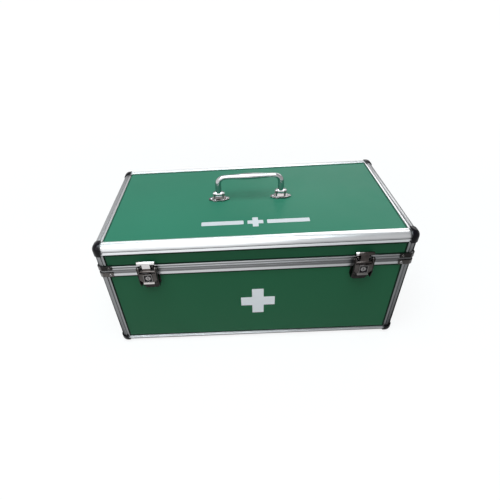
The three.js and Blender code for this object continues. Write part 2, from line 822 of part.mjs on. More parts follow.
function footBracket() {
  const half = footLength / 2;
  const lens = [
    [half, -footTip / 2],
    [half, footTip / 2],
    [footLength / 4, footWidth / 2],
    [-footLength / 4, footWidth / 2],
    [-half, footTip / 2],
    [-half, -footTip / 2],
    [-footLength / 4, -footWidth / 2],
    [footLength / 4, -footWidth / 2],
  ];
  const ear = [
    [-footWidth / 2 + fit, footSeat],
    [footWidth / 2 - fit, footSeat],
    [earRadius, footSeat + footThickness + fit],
    ...arc(0, pivotHeight, earRadius, 0, 180, 8),
    [-earRadius, footSeat + footThickness + fit],
  ];
  const hole = [circle(0, pivotHeight, handlePinRadius + fit, 16)];
  const inner = eyeWidth / 2 + fit;
  return join(
    alongZ(lens, footSeat, footSeat + footThickness),
    alongX(ear, inner, inner + earThickness, hole),
    alongX(ear, -inner - earThickness, -inner, hole),
  );
}

function handlePin() {
  const shank = eyeWidth / 2 + earThickness + 2 * fit;
  const head = shank + handlePinHeadThickness;
  return join(
    alongX(circle(0, pivotHeight, handlePinRadius, 16), -shank, shank),
    alongX(circle(0, pivotHeight, handlePinHead, 16), shank, head),
    alongX(circle(0, pivotHeight, handlePinHead, 16), -head, -shank),
  );
}

const handle = piece("handle", bail(), brightSteel, moving);
handle.position.set(0, 0, pivotHeight);
const foot = footBracket();
const pin = handlePin();
for (const [side, sx] of [["left", -1], ["right", 1]]) {
  piece(`${side}_handle_bracket`, foot, brightSteel, lid).position.x = (sx * handleSpan) / 2;
  piece(`${side}_handle_pin`, pin, brightSteel, lid).position.x = (sx * handleSpan) / 2;
}

// The whole box, centred between the reach of its latches and of its hinges, on its lower caps
const firstAidBox = new THREE.Group();
firstAidBox.add(base, lid, moving);
for (const group of firstAidBox.children) {
  group.position.set(0, (frontReach - rearReach) / 2, capProud);
}

export default firstAidBox;
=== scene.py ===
# %% [markdown]
# # First aid box
#
# A first aid box is a light case of green laminated boards, held along every edge by aluminium
# profiles. Black plastic caps close the eight corners. Two draw latches hold the lid down in front,
# two hinges carry it at the back, and a chrome handle folds flat on top.
#
# This lesson dresses the solid model of that box. The solids already have the right size and place,
# and they move on their joints, so every piece made here is put where the solids say.

# %% Load the solid model
import math

import bmesh
import bpy
from mathutils import Matrix, Vector


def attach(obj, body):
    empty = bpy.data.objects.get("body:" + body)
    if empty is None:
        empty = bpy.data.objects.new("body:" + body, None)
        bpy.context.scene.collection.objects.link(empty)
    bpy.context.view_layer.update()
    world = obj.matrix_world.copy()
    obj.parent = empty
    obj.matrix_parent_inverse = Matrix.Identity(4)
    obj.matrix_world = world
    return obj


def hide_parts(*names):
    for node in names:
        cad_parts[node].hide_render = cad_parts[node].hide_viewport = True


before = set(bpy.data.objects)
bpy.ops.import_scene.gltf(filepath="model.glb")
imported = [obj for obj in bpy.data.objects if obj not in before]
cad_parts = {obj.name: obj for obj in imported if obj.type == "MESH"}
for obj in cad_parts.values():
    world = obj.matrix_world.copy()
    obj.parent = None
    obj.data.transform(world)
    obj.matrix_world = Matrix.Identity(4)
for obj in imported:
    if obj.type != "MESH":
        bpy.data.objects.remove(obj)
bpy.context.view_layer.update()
MM = 0.001


def new_object(name, data):
    """An object with that data, linked to the scene."""
    made = bpy.data.objects.new(name, data)
    bpy.context.collection.objects.link(made)
    return made


# %% [markdown]
# ## Camera
#
# The picture was taken from above the front edge, with a fairly wide lens. A camera is a point, three
# directions and a lens. It could be aimed at the box by eye, but here its three directions are written
# as the columns of a matrix, because they came from fitting straight edges of the box.

# %% Camera
LENS, SENSOR = 26.41, 36
SHIFT = (0.0408, -0.0153)
CAMERA_PLACE = (-0.01918, -0.48447, 0.48736)
CAMERA_TURN = Matrix((
    (0.99859, 0.04587, 0.02653),
    (-0.00718, 0.61301, -0.79004),
    (-0.0525, 0.78874, 0.61248),
))
camera_data = bpy.data.cameras.new("camera")
camera_data.lens = LENS
camera_data.sensor_width = SENSOR
camera_data.shift_x, camera_data.shift_y = SHIFT
camera = new_object("camera", camera_data)
camera.matrix_world = Matrix.Translation(CAMERA_PLACE) @ CAMERA_TURN.to_4x4()
bpy.context.scene.camera = camera
bpy.context.scene.view_settings.view_transform = "Standard"
print("camera", round(camera.location.length, 3), "m from the middle of the floor under the box")

# %% [markdown]
# ## Node graphs written as formulas
#
# Materials and Geometry Nodes are both graphs of nodes. Adding nodes one by one takes many lines, so
# one small class adds any node from its type, its settings and its sockets. A second one wraps an
# output, and turns plus, minus and times into Math nodes. A formula then reads as it would on paper.

# %% Graph helpers
class Wire:
    """An output socket that can be used in sums and products."""

    def __init__(self, graph, socket):
        self.graph = graph
        self.socket = socket

    def __add__(self, other):
        return self.graph.math("ADD", self, other)

    def __sub__(self, other):
        return self.graph.math("SUBTRACT", self, other)

    def __rsub__(self, other):
        return self.graph.math("SUBTRACT", other, self)

    def __mul__(self, other):
        return self.graph.math("MULTIPLY", self, other)

    def __pow__(self, other):
        return self.graph.math("POWER", self, other)

    __radd__ = __add__
    __rmul__ = __mul__


class Step:
    """A node. step["name"] is its output of that name, as a Wire."""

    def __init__(self, graph, made):
        self.graph = graph
        self.made = made

    def __getitem__(self, name):
        return Wire(self.graph, pick(self.made.outputs, name))


def pick(sockets, key):
    """The socket with that number, or the one in use with that name."""
    if isinstance(key, int):
        return sockets[key]
    return next(s for s in sockets if s.enabled and key in (s.name, s.identifier))


class Graph:
    """A node tree. node() takes a node's type, its settings and the values or wires of its sockets."""

    def __init__(self, tree):
        self.tree = tree

    def node(self, kind, settings=None, sockets=None):
        made = self.tree.nodes.new(kind)
        for key, value in (settings or {}).items():
            setattr(made, key, value)
        for key, value in (sockets or {}).items():
            self.feed(pick(made.inputs, key), value)
        return Step(self, made)

    def feed(self, socket, value):
        if isinstance(value, Wire):
            self.tree.links.new(value.socket, socket)
        else:
            socket.default_value = value

    def math(self, operation, *values):
        return self.node("ShaderNodeMath", {"operation": operation}, dict(enumerate(values)))["Value"]

    def split(self, vector):
        """A step that gives a vector's X, Y and Z."""
        return self.node("ShaderNodeSeparateXYZ", None, {"Vector": vector})

    def ease(self, value, start, end, first=0.0, last=1.0):
        """Goes smoothly from first to last while the value goes from start to end."""
        sockets = {"Value": value, "From Min": start, "From Max": end, "To Min": first, "To Max": last}
        return self.node("ShaderNodeMapRange", {"interpolation_type": "SMOOTHSTEP"}, sockets)["Result"]


print("graph helpers ready")

# %% [markdown]
# ## Finishes
#
# Every finish starts from the Principled shader. Numbers that are the same all over are set on its
# sockets, and what changes over the surface comes from noise on Object coordinates. These are metres
# in the box's own frame, so the grain keeps its real size and doesn't slide when the lid opens.
# Dirt, painted shade and painted highlights follow the shape: they come from bands at known places, or
# from marks on a mesh's faces.

# %% Finish helpers
def finish(name, sockets):
    """A new material with fixed values on its Principled shader, its graph and its object coordinates."""
    material = bpy.data.materials.new(name)
    material.use_nodes = True
    graph = Graph(material.node_tree)
    shader = material.node_tree.nodes["Principled BSDF"]
    for key, value in sockets.items():
        shader.inputs[key].default_value = value
    place = graph.node("ShaderNodeTexCoord")["Object"]
    return material, graph, shader, place


def noise(graph, place, scale, detail, stretch=(1, 1, 1)):
    """Noise between 0 and 1. Scale is in cells per metre, and stretch scales each axis."""
    turned = graph.node("ShaderNodeMapping", None, {"Vector": place, "Scale": stretch})["Vector"]
    return graph.node("ShaderNodeTexNoise", None, {"Vector": turned, "Scale": scale, "Detail": detail})["Fac"]


def blend(graph, share, first, second):
    """A colour that goes from the first to the second while the share goes from 0 to 1."""
    sockets = {"Factor": share, "A": first, "B": second}
    return graph.node("ShaderNodeMix", {"data_type": "RGBA"}, sockets)["Result"]


def bump(graph, shader, height, distance, strength):
    """Relief of that many metres, softened by a strength, where height goes from 0 to 1."""
    sockets = {"Height": height, "Distance": distance, "Strength": strength}
    graph.feed(shader.inputs["Normal"], graph.node("ShaderNodeBump", None, sockets)["Normal"])


def between(graph, value, low, high):
    """1 where a value lies between two limits, else 0."""
    return graph.math("GREATER_THAN", value, low) * graph.math("LESS_THAN", value, high)


def marked(graph, name):
    """What mark_faces wrote on a mesh under that name, or 0 on a mesh without it."""
    return graph.node("ShaderNodeAttribute", {"attribute_name": name})["Fac"]


print("finish helpers ready")

# %% [markdown]
# ### Green laminate
#
# The boards are thin wood covered with a green plastic film, which has a satin sheen. Rollers press it
# on and leave a fine pebbled grain: noise with cells of about a millimetre. Slow noise shifts the green
# a little over the board. Narrow bands where a board enters its profiles are darkened, partly as dirt and
# partly as painted shade. The lid's boards get a darker green as painted shade, and the top board a
# lighter, bluer green as a painted sheen, with fainter seams.

# %% Green laminate
DIRT_AND_SHADE_SEAMS = {  # on each axis, in mm: the middle that a band's distance is measured from, its start and its end
    "X": [(0, 200.6, 203.5)],
    "Y": [(2.2, 95.6, 98.5)],
    "Z": [(0, 11.7, 14.6), (0, 141.6, 146), (0, 161, 163.8), (0, 178.9, 183)],
}
# The seams' colour: partly dirt, partly painted shade.
SEAM_DIRT_AND_SHADE_TONE = (0.003, 0.009, 0.006, 1)
RED_SHARE = 0.165
PEBBLES = 1100  # per metre


def green_laminate(name, tone, blue, seam_dirt_and_shade=0.85):
    """Green film. Tone is its green, and blue and RED_SHARE are the other colours' shares of that."""
    material, graph, shader, place = finish(name, {"IOR": 1.5, "Specular IOR Level": 0.1})
    drift = noise(graph, place, 7, 2)
    pebbles = noise(graph, place, PEBBLES, 1)
    dark, light = [(t * RED_SHARE, t, t * blue, 1) for t in (tone * 0.87, tone * 1.13)]
    green = blend(graph, drift * 0.7 + pebbles * 0.3, dark, light)
    axes = graph.split(place)
    seam = 0
    for axis, bands in DIRT_AND_SHADE_SEAMS.items():
        for middle, low, high in bands:
            away = graph.math("ABSOLUTE", axes[axis] - middle * MM)
            seam = graph.math("MAXIMUM", seam, between(graph, away, low * MM, high * MM))
    graph.feed(shader.inputs["Base Color"], blend(graph, seam * seam_dirt_and_shade, green, SEAM_DIRT_AND_SHADE_TONE))
    graph.feed(shader.inputs["Roughness"], 0.32 + 0.14 * noise(graph, place, 30, 3))
    bump(graph, shader, pebbles, 0.00008, 0.5)
    return material


# The lid's darker green is painted shade, and the top board's lighter, bluer green a painted sheen.
GREEN = green_laminate("green_laminate", 0.12, 0.46)
SHADED_LID_GREEN = green_laminate("shaded_lid_green_laminate", 0.088, 0.46)
LIT_TOP_GREEN = green_laminate("lit_top_green_laminate", 0.135, 0.61, 0.4)
print(GREEN.name, SHADED_LID_GREEN.name, LIT_TOP_GREEN.name)

# %% [markdown]
# ### Aluminium profiles
#
# The profiles are pressed through a die, which draws fine lines along their length, and then they are
# anodised to a satin grey. The lines are noise that is stretched a few hundred times along one axis,
# so there is one finish for each direction in which a profile runs. The rims run both ways, and take
# their direction from the normal. The grey differs from profile to profile as painted light and shade:
# light on the top front and rear edges and on the bottom edges, darker on the top side edges and the
# uprights, and darkest on the rims. Faces marked for shade are darkened and faces marked for a highlight
# are lightened: painted shade and painted highlights.

# %% Aluminium
ALONG = {"x": (0.004, 1, 1), "y": (1, 0.004, 1), "z": (1, 1, 0.004)}
DRAWN_LINES = 2600  # per metre
# Painted shade on faces marked for it, and a painted highlight on faces marked for that.
PAINTED_SHADE_TONE, ALUMINIUM_HIGHLIGHT_TONE = (0.03, 0.03, 0.032, 1), (0.8, 0.8, 0.82, 1)


def aluminium(name, axes, tone, edge=0.5):
    """Metal drawn along one axis or two. Edge is its tint where it is seen at a glancing angle."""
    material, graph, shader, place = finish(name, {"Metallic": 1.0, "Specular Tint": (edge, edge, edge, 1)})
    lines = noise(graph, place, DRAWN_LINES, 2, ALONG[axes[0]])
    if len(axes) > 1:
        other = noise(graph, place, DRAWN_LINES, 2, ALONG[axes[1]])
        facing = graph.split(graph.node("ShaderNodeTexCoord")["Normal"])["X"]
        sideways = graph.math("COMPARE", facing * facing, 1.0, 0.5)
        lines = lines * (1 - sideways) + other * sideways
    handling = noise(graph, place, 40, 3)
    grey, pale = [(t * 0.99, t, t * 1.02, 1) for t in (tone * 0.88, tone * 1.12)]
    metal = blend(graph, lines * 0.5 + handling * 0.5, grey, pale)
    metal = blend(graph, marked(graph, "painted_shade") * 0.9, metal, PAINTED_SHADE_TONE)
    metal = blend(graph, marked(graph, "painted_highlight") * 0.6, metal, ALUMINIUM_HIGHLIGHT_TONE)
    graph.feed(shader.inputs["Base Color"], metal)
    graph.feed(shader.inputs["Roughness"], 0.26 + 0.05 * lines + 0.1 * handling)
    bump(graph, shader, lines, 0.000004, 0.5)
    return material


# Tones from 0.16 to 0.85 for one anodised metal: painted light and shade.
LIT_AND_SHADED_TOP_METAL = {"x": aluminium("lit_top_aluminium_x", "x", 0.85), "y": aluminium("shaded_top_aluminium_y", "y", 0.46)}
LIT_BOTTOM_METAL = {axis: aluminium(f"bottom_aluminium_{axis}", axis, 0.85) for axis in "xy"}
SHADED_UPRIGHT_METAL = aluminium("shaded_upright_aluminium", "z", 0.28, 0.0)
SHADED_RIM_METAL = aluminium("shaded_rim_aluminium", "xy", 0.16)
print("six aluminium finishes")

# %% [markdown]
# ### Black caps
#
# The corner caps are moulded in black plastic and nearly as glossy as piano lacquer. A mould is never
# perfect, so the surface has a slight orange peel, and handling leaves hair-fine rubbed areas.

# %% Black plastic
def black_plastic():
    material, graph, shader, place = finish("glossy_black", {"IOR": 1.52, "Specular IOR Level": 0.12})
    handled = noise(graph, place, 90, 4)
    tone = blend(graph, handled, (0.001, 0.001, 0.002, 1), (0.005, 0.004, 0.007, 1))
    graph.feed(shader.inputs["Base Color"], tone)
    graph.feed(shader.inputs["Roughness"], 0.05 + 0.12 * handled)
    bump(graph, shader, noise(graph, place, 420, 1), 0.00002, 0.5)
    return material


BLACK = black_plastic()
print(BLACK.name)

# %% [markdown]
# ### Plated steel
#
# Handle, latches, hinges and clamps are pressed from steel sheet and plated. Handle and hinges are
# bright chrome, the handle's feet and the key plugs satin nickel, and latches and clamps dark nickel.
# Marked faces and the claws of the hooks get a painted highlight. All get soft waves, since sheet that
# was bent is never quite flat, and a thin film of handling that changes the roughness.

# %% Plated steel
# The colour of a painted highlight on plating.
PLATING_HIGHLIGHT_TONE = (0.62, 0.6, 0.6, 1)
CLAW_FOOT = 161.2  # height from which the claw of a hook gets a painted highlight, in mm


def plated(name, dark, light, low, wave, highlight_left_of=None):
    """Plating between two tones, with a painted highlight where faces are marked, or on a claw left of an x
    in mm.
    """
    material, graph, shader, place = finish(name, {"Metallic": 1.0, "Specular Tint": (0.6, 0.6, 0.6, 1)})
    touched = noise(graph, place, 160, 4)
    highlight = marked(graph, "painted_highlight") * 0.45
    if highlight_left_of is not None:
        axes = graph.split(place)
        highlight = between(graph, axes["X"], -1, highlight_left_of * MM) * between(graph, axes["Z"], CLAW_FOOT * MM, 1)
    metal = blend(graph, touched, dark, light)
    graph.feed(shader.inputs["Base Color"], blend(graph, highlight, metal, PLATING_HIGHLIGHT_TONE))
    graph.feed(shader.inputs["Roughness"], low + 0.12 * touched)
    bump(graph, shader, noise(graph, place, 230, 1), wave, 0.6)
    return material


CHROME = plated("bright_chrome", (0.44, 0.44, 0.45, 1), (0.6, 0.6, 0.62, 1), 0.05, 0.0001)
SATIN = plated("satin_nickel", (0.16, 0.15, 0.15, 1), (0.4, 0.38, 0.38, 1), 0.1, 0.00014)
NICKEL = plated("dark_nickel", (0.006, 0.006, 0.006, 1), (0.045, 0.041, 0.04, 1), 0.05, 0.00016)
LEVER = plated("lever_nickel", (0.03, 0.027, 0.026, 1), (0.13, 0.117, 0.112, 1), 0.06, 0.00024)
# The left hook's whole claw gets a painted highlight, the right one's only at its left end.
HOOK = {
    side: plated(f"{side}_hook_nickel", (0.02, 0.018, 0.017, 1), (0.12, 0.1, 0.095, 1), 0.08, 0.00014, far)
    for side, far in (("left", 0), ("right", 138))
}
print(CHROME.name, SATIN.name, NICKEL.name, LEVER.name, "and", len(HOOK), "hook finishes")

# %% [markdown]
# ### Felt
#
# The inside is lined with dark felt. Felt is a mat of short fibres, so it scatters light and has no
# highlight. Two noises of different size give the tangle and the lighter fibre ends.

# %% Felt
def felt():
    material, graph, shader, place = finish("dark_felt", {"Roughness": 0.95, "Sheen Weight": 0.4})
    tangle = noise(graph, place, 1500, 6)
    tone = blend(graph, tangle, (0.014, 0.016, 0.018, 1), (0.06, 0.064, 0.07, 1))
    graph.feed(shader.inputs["Base Color"], tone)
    bump(graph, shader, tangle + 0.4 * noise(graph, place, 300, 3), 0.0003, 0.8)
    return material


FELT = felt()
print(FELT.name)

# %% [markdown]
# ### White film
#
# The cross and the mark on the lid are cut from white film and stuck on. The film is thin, a little
# glossy, and shows a trace of the pebbled board under it. The mark's film is a greyer one.

# %% White film
def white_film(name, white):
    material, graph, shader, place = finish(name, {"IOR": 1.46, "Specular IOR Level": 0.3})
    cloud = noise(graph, place, 60, 3)
    dull, clear = [(t * 0.97, t * 0.97, t, 1) for t in (white * 0.95, white * 1.05)]
    graph.feed(shader.inputs["Base Color"], blend(graph, cloud, dull, clear))
    graph.feed(shader.inputs["Roughness"], 0.3 + 0.2 * cloud)
    bump(graph, shader, noise(graph, place, PEBBLES, 1), 0.00004, 0.4)
    return material


WHITE = white_film("white_film", 0.95)
LID_WHITE = white_film("lid_film", 0.45)
print(WHITE.name, LID_WHITE.name)

# %% [markdown]
# ## Shared making steps
#
# Real edges are never perfectly sharp: a narrow rounding catches the light and makes an edge read as
# metal or plastic. A copy of a solid has its loose triangles merged, its flat faces made whole again,
# and then a Bevel modifier rounds each edge. The copy keeps the solid's size and place.

# %% Copies with rounded edges
MERGE = 0.002  # points nearer than this are one, in mm
SHARP = 32  # an edge that turns by more degrees is rounded
ROUNDED = []


def place_piece(name, mesh, material, body, replaced=()):
    """An object at the origin with its finish, which rides on a body and stands for some nodes."""
    piece = new_object(name, mesh)
    mesh.materials.clear()
    mesh.materials.append(material)
    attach(piece, body)
    if replaced:
        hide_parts(*replaced)
    return piece


def whole_copy(node):
    """A copy of a node's mesh, its triangles merged into closed faces."""
    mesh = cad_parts[node].data.copy()
    mesh.name = node + "_copy"
    work = bmesh.new()
    work.from_mesh(mesh)
    bmesh.ops.remove_doubles(work, verts=work.verts, dist=MERGE * MM)
    bmesh.ops.dissolve_limit(work, angle_limit=math.radians(1), verts=work.verts, edges=work.edges)
    work.to_mesh(mesh)
    work.free()
    return mesh


def round_edges(piece, width, steps=2):
    piece.data.shade_smooth()
    bevel = piece.modifiers.new("rounding", "BEVEL")
    bevel.width = width * MM
    bevel.segments = steps
    bevel.limit_method = "ANGLE"
    bevel.angle_limit = math.radians(SHARP)
    bevel.harden_normals = True
    ROUNDED.append(piece.name)
    return piece


def dress(node, material, body, width, steps=2):
    """A rounded copy that stands for a node."""
    piece = place_piece(node + "_dressed", whole_copy(node), material, body, [node])
    return round_edges(piece, width, steps)


def mark_faces(piece, name, passes):
    """Writes what a test gives for each face's middle, in millimetres, and normal: 0 to 1."""
    marks = piece.data.attributes.new(name, "FLOAT", "FACE")
    for face in piece.data.polygons:
        marks.data[face.index].value = float(passes(face.center / MM, face.normal))


print("making steps ready")

# %% [markdown]
# ## Boards
#
# Each board is a flat sheet whose edges sit in the slots of the profiles, so only its face shows. The
# solids are right as they are, and they only take the laminate.

# %% Boards
boards = [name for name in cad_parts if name.endswith("_board")]
for name in boards:
    green = LIT_TOP_GREEN if name == "top_board" else SHADED_LID_GREEN if name.startswith("lid_") else GREEN
    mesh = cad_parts[name].data
    mesh.materials.clear()
    mesh.materials.append(green)
print(len(boards), "boards")

# %% [markdown]
# ## Profiles and caps
#
# A profile is one section all along its length. Its small edges are rounded by the die, and a wider
# rounding suits the moulded caps. Four small tests mark faces by their place and direction: the groove
# beside a round edge, the strip above a bottom groove, the underside and the right-facing sides, which
# get painted shade, and the flat strip beside the top board, which gets a painted highlight.

# %% Profiles and caps
HALF_WIDTH, HALF_DEPTH = 215.0, 110.0
MIDDLE_Y = 2.2
FOOT, TOP = 1.5, 196.5
CREASE_START, CREASE_END, CREASE_FLOOR = 8.5, 10.1, 1.1
ROUND_FOOT, SHADE = 6.4, 0.35
SKIN = 0.2  # what lies less deep belongs to the outer planes, in mm
RIGHT, UPWARD, DOWN = 0.45, 0.9, -0.05  # how far a normal leans for a face to count as turned there


def side_depth(spot):
    """How far a spot lies inside the nearest upright plane of the case."""
    return min(HALF_WIDTH - abs(spot.x), HALF_DEPTH - abs(spot.y - MIDDLE_Y))


def in_crease(spot, normal):
    """Painted shade: 1 in the groove beside a round edge, on an upright side, and less on the foot of the
    rounding.
    """
    level = min(spot.z - FOOT, TOP - spot.z)
    depth, across = sorted((HALF_WIDTH - abs(spot.x), HALF_DEPTH - abs(spot.y - MIDDLE_Y), level))[:2]
    if depth == level or not ROUND_FOOT < across < CREASE_END:
        return 0
    if across < CREASE_START:
        return SHADE * (depth < SKIN)
    return SKIN < depth < CREASE_FLOOR


def on_upright(spot, normal):
    """An upright's groove gets fainter painted shade, and its right-facing side is darkened as painted shade.
    """
    return max(0.4 * in_crease(spot, normal), 0.95 * (normal.x > RIGHT))


def on_bottom(spot, normal):
    """A bottom profile's groove gets fainter painted shade, and the strip above it and the underside are
    darkened as painted shade.
    """
    strip = spot.z - FOOT > CREASE_END and side_depth(spot) < CREASE_FLOOR
    return max(0.3 * in_crease(spot, normal), 0.8 * strip, 0.7 * (normal.z < DOWN))


def on_flange(spot, normal):
    """1 on the flat strip beside the top board, which gets a painted highlight."""
    return normal.z > UPWARD and CREASE_END < HALF_WIDTH - abs(spot.x) and spot.z > TOP - CREASE_FLOOR


def dress_profile(node, material, body, darkens):
    profile = dress(node, material, body, 0.15)
    mark_faces(profile, "painted_shade", darkens)
    return profile


ENDS = ("front", "rear")
SIDES = ("left", "right")
PARTS = {"base": ("bottom", LIT_BOTTOM_METAL, on_bottom), "lid": ("top", LIT_AND_SHADED_TOP_METAL, in_crease)}
for body, (level, metal, darkens) in PARTS.items():
    for side in ENDS + SIDES:
        along = "x" if side in ENDS else "y"
        profile = dress_profile(f"{level}_{side}_edge_profile", metal[along], body, darkens)
        if level == "top" and side in SIDES:
            mark_faces(profile, "painted_highlight", on_flange)
    for end in ENDS:
        for side in SIDES:
            dress_profile(f"{body}_{end}_{side}_corner_profile", SHADED_UPRIGHT_METAL, body, on_upright)
            dress(f"{level}_{end}_{side}_corner_cap", BLACK, body, 0.3, 3)
print(len(ROUNDED), "rounded copies so far")

# %% [markdown]
# ## Parting rims
#
# Where lid and base meet, each has a rim of aluminium that holds the ends of the boards. The base rim
# carries a thin tongue that enters a groove in the lid rim and keeps dust out. Both are one section
# carried round the box, so each point of the section gives a rectangle with rounded corners, and
# faces join each rectangle to the next one.

# %% Rims
RIM_CORNER, RIM_STEPS = 5.0, 6


def corner_loop(inset, z):
    """Points of a rounded rectangle, that far inside the case's outer plane."""
    radius = max(RIM_CORNER - inset, 0.0)
    points = []
    for quarter, (sx, sy) in enumerate(((1, 1), (-1, 1), (-1, -1), (1, -1))):
        centre_x = sx * (HALF_WIDTH - inset - radius)
        centre_y = sy * (HALF_DEPTH - inset - radius) + MIDDLE_Y
        for i in range(RIM_STEPS + 1):
            angle = math.radians(90 * quarter + 90 * i / RIM_STEPS)
            x, y = centre_x + radius * math.cos(angle), centre_y + radius * math.sin(angle)
            points.append((x, y, z + FOOT))
    return points


def carried_round(name, section):
    """A closed ring: a section of (inset, height) points carried round the case."""
    work = bmesh.new()
    loops = [[work.verts.new(Vector(p) * MM) for p in corner_loop(*point)] for point in section]
    for i, loop in enumerate(loops):
        following = loops[(i + 1) % len(loops)]
        for j in range(len(loop)):
            k = (j + 1) % len(loop)
            work.faces.new((loop[j], loop[k], following[k], following[j]))
    return closed_mesh(name, work)


def closed_mesh(name, work):
    """A mesh with its doubles merged, its empty faces gone and its normals turned outwards."""
    bmesh.ops.remove_doubles(work, verts=work.verts, dist=MERGE * MM)
    bmesh.ops.dissolve_degenerate(work, edges=work.edges, dist=MERGE * MM)
    bmesh.ops.recalc_face_normals(work, faces=work.faces)
    mesh = bpy.data.meshes.new(name)
    work.to_mesh(mesh)
    work.free()
    return mesh


BASE_SECTION = [
    (0.5, 143.3), (0.1, 143.8), (0, 144.3), (0, 146.9), (0.3, 147.7), (0.7, 148.2), (0.7, 151.2),
    (1.2, 151.7), (2.6, 151.7), (2.6, 156.1), (3.0, 156.5), (3.3, 156.5), (4.0, 151.7), (7.5, 151.7),
    (7.5, 143.3), (6.3, 143.3), (6.3, 147.5), (1.7, 147.5), (1.7, 143.3),
]
LID_SECTION = [
    (0.9, 152.1), (0.5, 152.5), (0.5, 154.0), (0.1, 154.5), (0, 155.0), (0, 155.6), (0.3, 156.1),
    (0.7, 156.4), (0.7, 157.6), (0.3, 158.0), (0, 158.5), (0, 159.7), (0.5, 160.4), (1.7, 160.4),
    (1.7, 159.6), (6.3, 159.6), (6.3, 162.8), (7.5, 162.8), (7.5, 152.0), (4.3, 152.0), (4.3, 156.8),
    (2.3, 156.8), (2.3, 152.1),
]
# The outer faces of the rims get a painted highlight, fainter on the lid.
HIGHLIGHT_DEPTH = 0.4
for body, section, highlight_share in (("base", BASE_SECTION, 1.0), ("lid", LID_SECTION, 0.4)):
    ring = carried_round(f"{body}_rim_dressed", section)
    rim = place_piece(f"{body}_rim_dressed", ring, SHADED_RIM_METAL, body, [f"{body}_rim"])
    mark_faces(rim, "painted_highlight", lambda spot, normal: highlight_share * (side_depth(spot) < HIGHLIGHT_DEPTH))
    round_edges(rim, 0.12)
    print(rim.name, len(rim.data.polygons), "faces")

# %% [markdown]
# ## Geometry Nodes
#
# What repeats, or follows a path, is made by Geometry Nodes: a tree with named inputs turns a few
# points or edges into the finished shape. The result is then turned into a plain mesh.

# %% Tree helpers
def open_tree(name, inputs):
    """A tree that takes a geometry and the named inputs, and the step that gives them."""
    tree = bpy.data.node_groups.new(name, "GeometryNodeTree")
    tree.interface.new_socket("Geometry", in_out="INPUT", socket_type="NodeSocketGeometry")
    for label, kind in inputs.items():
        tree.interface.new_socket(label, in_out="INPUT", socket_type="NodeSocket" + kind)
    tree.interface.new_socket("Geometry", in_out="OUTPUT", socket_type="NodeSocketGeometry")
    graph = Graph(tree)
    return tree, graph, graph.node("NodeGroupInput")


def close_tree(graph, geometry, material):
    """Makes the copies real, gives them their finish and hands them out."""
    real = graph.node("GeometryNodeRealizeInstances", None, {"Geometry": geometry})["Geometry"]
    done = graph.node("GeometryNodeSetMaterial", None, {"Geometry": real, "Material": material})["Geometry"]
    graph.node("NodeGroupOutput", None, {"Geometry": done})


def grow(tree, points, edges, values, facing=()):
    """The plain mesh that a tree makes from points and edges, in millimetres, with its inputs set."""
    seeds = bpy.data.meshes.new("seeds")
    seeds.from_pydata([Vector(p) * MM for p in points], edges, [])
    if facing:
        aim = seeds.attributes.new("facing", "FLOAT_VECTOR", "POINT")
        aim.data.foreach_set("vector", [v for direction in facing for v in direction])
    carrier = new_object("carrier", seeds)
    modifier = carrier.modifiers.new("tree", "NODES")
    modifier.node_group = tree
    for item in tree.interface.items_tree:
        if item.in_out == "INPUT" and item.name in values:
            modifier[item.identifier] = values[item.name]
    mesh = bpy.data.meshes.new_from_object(carrier.evaluated_get(bpy.context.evaluated_depsgraph_get()))
    bpy.data.objects.remove(carrier)
    return mesh


print("tree helpers ready")

# %% [markdown]
# ### Corner clamps
#
# The mitred corners of both rims are held by strips of steel, bent round the corner and riveted. The
# tree turns a path of edges into a curve and sweeps a rectangle with filleted corners along it.

# %% Corner clamps
def strip_tree():
    inputs = {"Thickness": "Float", "Height": "Float", "Fillet": "Float", "Finish": "Material"}
    tree, graph, given = open_tree("bent_strip", inputs)
    path = graph.node("GeometryNodeMeshToCurve", None, {"Mesh": given["Geometry"]})["Curve"]
    path = graph.node("GeometryNodeSetCurveNormal", {"mode": "Z_UP"}, {"Curve": path})["Curve"]
    sides = {"Width": given["Thickness"], "Height": given["Height"]}
    shape = graph.node("GeometryNodeCurvePrimitiveQuadrilateral", None, sides)["Curve"]
    sockets = {"Curve": shape, "Count": 3, "Radius": given["Fillet"]}
    shape = graph.node("GeometryNodeFilletCurve", {"mode": "POLY"}, sockets)["Curve"]
    sockets = {"Curve": path, "Profile Curve": shape, "Fill Caps": True}
    swept = graph.node("GeometryNodeCurveToMesh", None, sockets)["Mesh"]
    close_tree(graph, swept, given["Finish"])
    return tree


CLAMP_THICKNESS, CLAMP_REACH, CLAMP_FILLET, CLAMP_STEPS = 0.7, 19.5, 0.3, 8
CLAMPS = {"base": (147.9, 7.2, LEVER), "lid": (159.7, 7.6, NICKEL)}  # middle's height, how tall, plating


def clamp_path(height):
    """Points along the middle of the four clamps, and the edges that join them."""
    radius, leg = RIM_CORNER + CLAMP_THICKNESS / 2, CLAMP_REACH - RIM_CORNER
    points, edges = [], []
    for sx in (-1, 1):
        for sy in (-1, 1):
            x, y = sx * (HALF_WIDTH - RIM_CORNER), sy * (HALF_DEPTH - RIM_CORNER) + MIDDLE_Y
            bend = [(x - sx * leg, y + sy * radius)]
            for i in range(CLAMP_STEPS + 1):
                angle = math.radians(90 - 90 * i / CLAMP_STEPS)
                bend.append((x + sx * radius * math.cos(angle), y + sy * radius * math.sin(angle)))
            bend.append((x + sx * radius, y - sy * leg))
            start = len(points)
            points += [(a, b, height) for a, b in bend]
            edges += [(start + i, start + i + 1) for i in range(len(bend) - 1)]
    return points, edges


def on_bend(spot, normal):
    """The bend of a clamp gets a painted highlight, most in its middle."""
    return 2 * abs(normal.x * normal.y)


